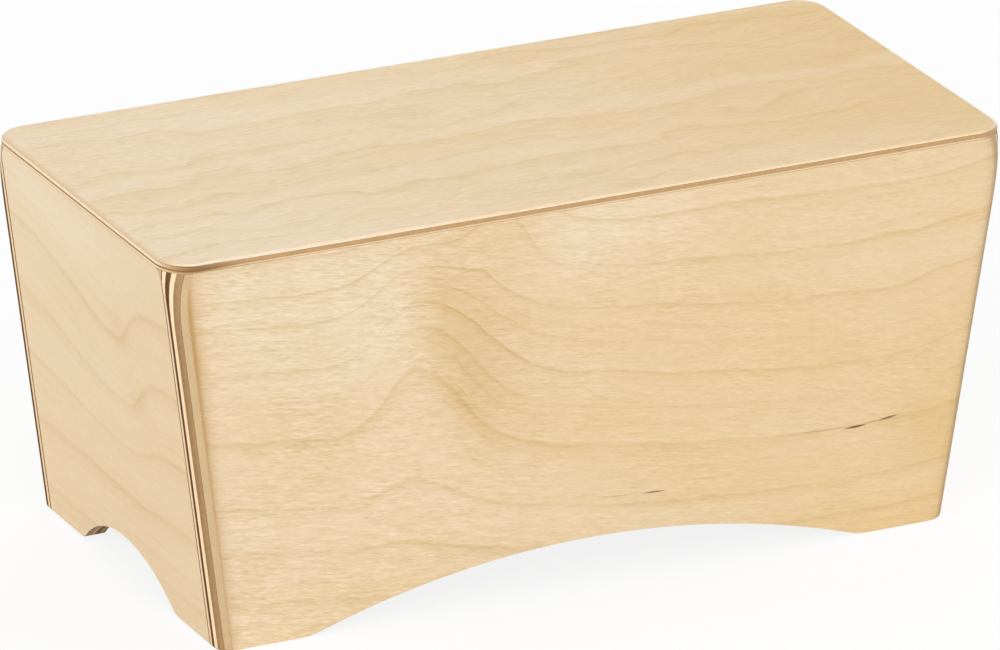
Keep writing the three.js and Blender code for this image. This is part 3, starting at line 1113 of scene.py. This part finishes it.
class CAJON_OT_playing_plate(CajonOperator, bpy.types.Operator):
    """Make the thin playing plate, with its eased rim and its plies"""

    bl_idname = "cajon.playing_plate"
    bl_label = "Playing plate"

    def execute(self, context):
        top = (0, 0, PLATE_HIGH.z)
        board = Board("playing_plate", top, (1, 0, 0), (0, 1, 0), (0, 0, -1), PLATE_PLIES)
        birch = PlatePlywood(board, PLATE_FIGURE, self.colours).build()
        plate = plate_tree().run(
            "finished_playing_plate", Half_Length=HALF_LENGTH, Half_Depth=HALF_DEPTH, Bottom=PLATE_LOW.z,
            Thickness=PLATE_THICK, Corner=self.sizes.plate_corner, Rim_In=self.sizes.plate_rim_in,
            Rim_Down=self.sizes.plate_rim_down, Arris=self.sizes.plate_arris, Material=birch,
        )
        seat(smoothed(plate), birch, "plate_birch", "playing_plate")
        return {"FINISHED"}


class CAJON_OT_long_panels(CajonOperator, bpy.types.Operator):
    """Make the front and rear panels, which cover the ends and show their plies at the upright edges"""

    bl_idname = "cajon.long_panels"
    bl_label = "Long panels"

    def execute(self, context):
        for node, side, figure in (("front_panel", -1, FRONT_FIGURE), ("rear_panel", 1, REAR_FIGURE)):
            face = (0, side * HALF_DEPTH, 0)
            board = Board(node, face, (1, 0, 0), (0, 0, 1), (0, -side, 0), PANEL_PLIES)
            self.finish_board(PanelPlywood(board, figure, self.colours), "panel_birch")
        return {"FINISHED"}


class CAJON_OT_end_panels(CajonOperator, bpy.types.Operator):
    """Make the two leaning end panels"""

    bl_idname = "cajon.end_panels"
    bl_label = "End panels"

    def execute(self, context):
        ends = (("left_end_panel", -1, LEFT_END_FIGURE), ("right_end_panel", 1, RIGHT_END_FIGURE))
        for node, side, figure in ends:
            foot = (side * FLOOR_HALF_LENGTH, 0, 0)
            board = Board(node, foot, (0, 1, 0), (side * LEAN, 0, 1), (-side, 0, LEAN), PANEL_PLIES)
            self.finish_board(Plywood(board, figure, self.colours), "panel_birch")
        return {"FINISHED"}


class CAJON_OT_divider(CajonOperator, bpy.types.Operator):
    """Make the raw plywood divider between the two chambers"""

    bl_idname = "cajon.divider"
    bl_label = "Divider"

    def execute(self, context):
        board = Board("divider", (DIVIDER_LOW.x, 0, 0), (0, 1, 0), (0, 0, 1), (1, 0, 0), DIVIDER_PLIES)
        self.finish_board(Plywood(board, DIVIDER_FIGURE, self.colours, BARE_WOOD), "divider_ply")
        return {"FINISHED"}


def square_section(nodes, given):
    """A square, centred on its point."""
    outline = nodes.add("GeometryNodeCurvePrimitiveQuadrilateral", mode="RECTANGLE")
    return nodes.fill(outline, Width=given.width, Height=given.width).outputs[0]


def corner_section(nodes, given):
    """A right-angled triangle with its square corner on its point, for the quarter of positive x and y."""
    back = nodes.times(given.width, -1.0)
    middle = nodes.times(given.width, -0.5)
    outline = nodes.add("GeometryNodeCurvePrimitiveQuadrilateral", mode="POINTS")
    return nodes.fill(
        outline, Point_1=(0, 0, 0), Point_2=nodes.combine(back, 0.0), Point_3=nodes.combine(middle, middle),
        Point_4=nodes.combine(0.0, back),
    ).outputs[0]


def strip_tree(name, section):
    """Four upright strips with rounded arrises, one in each quarter, leaning with the ends."""
    tree = GeometryTree(
        name, "Spacing X, Spacing Y, Middle X, Bottom, Height, Width, Arris, Lean, Quarter Turn"
    )
    nodes, given = tree.nodes, tree.given
    eased = nodes.add("GeometryNodeFilletCurve", mode="POLY")
    nodes.fill(eased, Curve=section(nodes, given), Count=STRIP_ARRIS_STEPS, Radius=given.arris)
    bottom = nodes.fill(nodes.add("GeometryNodeFillCurve", mode="NGONS"), Curve=eased.outputs[0]).outputs[0]
    drawn = nodes.add("GeometryNodeExtrudeMesh", mode="FACES")
    nodes.fill(drawn, Mesh=bottom, Offset=(0, 0, 1), Offset_Scale=given.height, Individual=False)
    strip = tree.closed(bottom, drawn.outputs["Mesh"])

    corners = nodes.add("GeometryNodeMeshGrid")
    nodes.fill(corners, Size_X=given.spacing_x, Size_Y=given.spacing_y, Vertices_X=2, Vertices_Y=2)
    x, y, z = nodes.separate(nodes.add("GeometryNodeInputPosition").outputs[0])
    heading = nodes.math("ARCTAN2", nodes.math("SIGN", y), nodes.math("SIGN", x))
    turn = nodes.times(nodes.minus(heading, math.pi / 4), given.quarter_turn)
    placed = nodes.add("GeometryNodeInstanceOnPoints")
    nodes.fill(placed, Points=corners.outputs[0], Instance=strip, Rotation=nodes.combine(0.0, 0.0, turn))
    real = nodes.fill(nodes.add("GeometryNodeRealizeInstances"), Geometry=placed.outputs[0])

    leaning = nodes.times(nodes.times(nodes.math("SIGN", x), given.lean), z)
    shift = nodes.combine(nodes.plus(leaning, given.middle_x), 0.0, given.bottom)
    moved = nodes.fill(nodes.add("GeometryNodeSetPosition"), Geometry=real.outputs[0], Offset=shift)
    tree.finish(moved.outputs[0])
    return tree


class CAJON_OT_strips(CajonOperator, bpy.types.Operator):
    """Make the softwood cleats beside the divider and the three-cornered blocks in the upright corners"""

    bl_idname = "cajon.strips"
    bl_label = "Inner strips"

    def execute(self, context):
        pine = softwood(self.colours)
        quarters = [f"{face}_{end}" for face in ("front", "rear") for end in ("left", "right")]
        shared = dict(Bottom=STRIP_BOTTOM, Height=STRIP_HEIGHT, Arris=self.sizes.strip_arris, Material=pine)
        cleats = strip_tree("Divider cleats", square_section).run(
            "finished_divider_cleats", Spacing_X=DIVIDER_THICK + CLEAT_WIDTH,
            Spacing_Y=-CLEAT_LOW.y - CLEAT_HIGH.y, Middle_X=(DIVIDER_LOW.x + DIVIDER_HIGH.x) / 2,
            Width=CLEAT_WIDTH, Lean=0.0, Quarter_Turn=0.0, **shared,
        )
        seat(smoothed(cleats), pine, "batten_pine", *("divider_cleat_" + quarter for quarter in quarters))
        foot = -BLOCK_LOW.x - LEAN * STRIP_HEIGHT
        blocks = strip_tree("Corner blocks", corner_section).run(
            "finished_corner_blocks", Spacing_X=2 * foot, Spacing_Y=-2 * BLOCK_LOW.y, Middle_X=0.0,
            Width=BLOCK_LEG, Lean=LEAN, Quarter_Turn=1.0, **shared,
        )
        seat(smoothed(blocks), pine, "batten_pine", *("corner_block_" + quarter for quarter in quarters))
        return {"FINISHED"}


# The floor: its sides in metres, and how much light it throws back
FLOOR_SIZE = 40.0
FLOOR_BOUNCE = 0.8
WHITE = (1, 1, 1)

# Where the lamps stand, and how wide they look
KEY_FROM = (-0.45, -0.78, 0.43)
SIDE_FROM = (-0.95, 0.05, 0.30)
FILL_FROM = (0.75, 0.60, 0.28)
WIDE = math.radians(60)

# Lamps over the box, where the plate's near corner and its front rim mirror them to the camera
CORNER_TOP_FROM = (0.25, 0.42, 0.87)
RIM_TOP_FROM = (0.43, -0.30, 0.85)
NARROW = math.radians(22)

# The camera's sensor, in millimetres, and how far it sees, in metres
SENSOR_WIDTH = 36
VIEW_DEPTH = 100


def seen_directly(nodes):
    """1 for what the camera sees, straight or in a gloss or through glass, and 0 for light on its way."""
    path = nodes.add("ShaderNodeLightPath").outputs
    seen = nodes.larger(path["Is Camera Ray"], path["Is Glossy Ray"])
    return nodes.larger(seen, path["Is Transmission Ray"])


def studio_floor(shadow):
    """A white floor that still shows the shadow on it."""
    material = bpy.data.materials.new("studio_floor")
    material.use_nodes = True
    material.node_tree.nodes.clear()
    nodes = Nodes(material.node_tree)
    bounce = nodes.fill(nodes.add("ShaderNodeBsdfDiffuse"), Color=(FLOOR_BOUNCE,) * 3).outputs[0]
    lit = nodes.fill(nodes.add("ShaderNodeBsdfDiffuse"), Color=WHITE).outputs[0]
    white = nodes.fill(nodes.add("ShaderNodeEmission"), Color=WHITE, Strength=1.0).outputs[0]
    surface = nodes.mix_shader(seen_directly(nodes), bounce, nodes.mix_shader(shadow, white, lit))
    nodes.fill(nodes.add("ShaderNodeOutputMaterial"), Surface=surface)
    floor = bpy.data.meshes.new("studio_floor")
    half = FLOOR_SIZE / 2
    corners = [(-half, -half, 0), (half, -half, 0), (half, half, 0), (-half, half, 0)]
    floor.from_pydata(corners, [], [(0, 1, 2, 3)])
    floor.materials.append(material)
    return new_object("studio_floor", floor)


def soft_lamp(name, towards, width, level):
    """A distant softbox. At level 1 a white sheet that faces it renders white."""
    lamp = bpy.data.lights.new(name, "SUN")
    lamp.energy = level * math.pi
    lamp.angle = width
    obj = new_object(name, lamp)
    obj.rotation_euler = Vector(towards).to_track_quat("Z", "Y").to_euler()


def studio_world(level):
    """White to the camera, and an even plain light all round."""
    world = bpy.data.worlds.new("studio_world")
    world.use_nodes = True
    world.node_tree.nodes.clear()
    nodes = Nodes(world.node_tree)
    light, white = (
        nodes.fill(nodes.add("ShaderNodeBackground"), Color=WHITE, Strength=strength).outputs[0]
        for strength in (level, 1.0)
    )
    surface = nodes.mix_shader(seen_directly(nodes), light, white)
    nodes.fill(nodes.add("ShaderNodeOutputWorld"), Surface=surface)
    bpy.context.scene.world = world


def studio_camera(stage):
    """The photograph's view: the camera circles the aim point, steps back and tilts about its own axis."""
    camera = bpy.data.cameras.new("studio_camera")
    camera.sensor_fit = "HORIZONTAL"
    camera.sensor_width = SENSOR_WIDTH
    camera.lens = stage.lens
    camera.clip_end = VIEW_DEPTH
    obj = new_object("studio_camera", camera)
    obj.matrix_world = (
        Matrix.Translation(stage.aim)
        @ Matrix.Rotation(-stage.azimuth, 4, "Z")
        @ Matrix.Rotation(math.pi / 2 - stage.elevation, 4, "X")
        @ Matrix.Translation((0, 0, stage.distance))
        @ Matrix.Rotation(stage.roll, 4, "Z")
    )
    bpy.context.scene.camera = obj


class CAJON_OT_stage(CajonOperator, bpy.types.Operator):
    """Set up the white floor, the soft lamps and the camera"""

    bl_idname = "cajon.stage"
    bl_label = "Stage"

    def execute(self, context):
        stage = context.scene.cajon_stage
        studio_floor(stage.shadow)
        studio_world(stage.sky)
        lamps = (
            ("key_lamp", KEY_FROM, WIDE, stage.key),
            ("side_lamp", SIDE_FROM, WIDE, stage.side),
            ("fill_lamp", FILL_FROM, WIDE, stage.fill),
            ("corner_top_lamp", CORNER_TOP_FROM, NARROW, stage.top),
            ("rim_top_lamp", RIM_TOP_FROM, NARROW, stage.top),
        )
        for lamp in lamps:
            soft_lamp(*lamp)
        studio_camera(stage)
        context.scene.view_settings.view_transform = "Standard"
        return {"FINISHED"}


class CAJON_PT_panel(bpy.types.Panel):
    """Lists the pieces of the cajon, with their sizes, their colours and the stage"""

    bl_idname = "CAJON_PT_panel"
    bl_label = "Bongo cajon"
    bl_space_type = "VIEW_3D"
    bl_region_type = "UI"
    bl_category = "Cajon"

    def draw(self, context):
        for operator in OPERATORS:
            self.layout.operator(operator.bl_idname)
        for group_name, group_class in SETTINGS.items():
            box = self.layout.box()
            for name in group_class.__annotations__:
                box.prop(getattr(context.scene, group_name), name)


OPERATORS = (
    CAJON_OT_playing_plate, CAJON_OT_long_panels, CAJON_OT_end_panels, CAJON_OT_divider, CAJON_OT_strips,
    CAJON_OT_stage,
)
SETTINGS = {"cajon_sizes": CajonSizes, "cajon_colours": CajonColours, "cajon_stage": CajonStage}
CLASSES = (*SETTINGS.values(), *OPERATORS, CAJON_PT_panel)


def register():
    """Makes the classes known, and gives the scene its settings."""
    for cls in CLASSES:
        bpy.utils.register_class(cls)
    for name, group in SETTINGS.items():
        setattr(bpy.types.Scene, name, PointerProperty(type=group))


def unregister():
    """Takes the settings and the classes away again."""
    for name in SETTINGS:
        delattr(bpy.types.Scene, name)
    for cls in reversed(CLASSES):
        bpy.utils.unregister_class(cls)


def main():
    """Makes the stage and every piece."""
    register()
    bpy.ops.cajon.stage()
    bpy.ops.cajon.playing_plate()
    bpy.ops.cajon.long_panels()
    bpy.ops.cajon.end_panels()
    bpy.ops.cajon.divider()
    bpy.ops.cajon.strips()


if __name__ == "__main__":
    main()
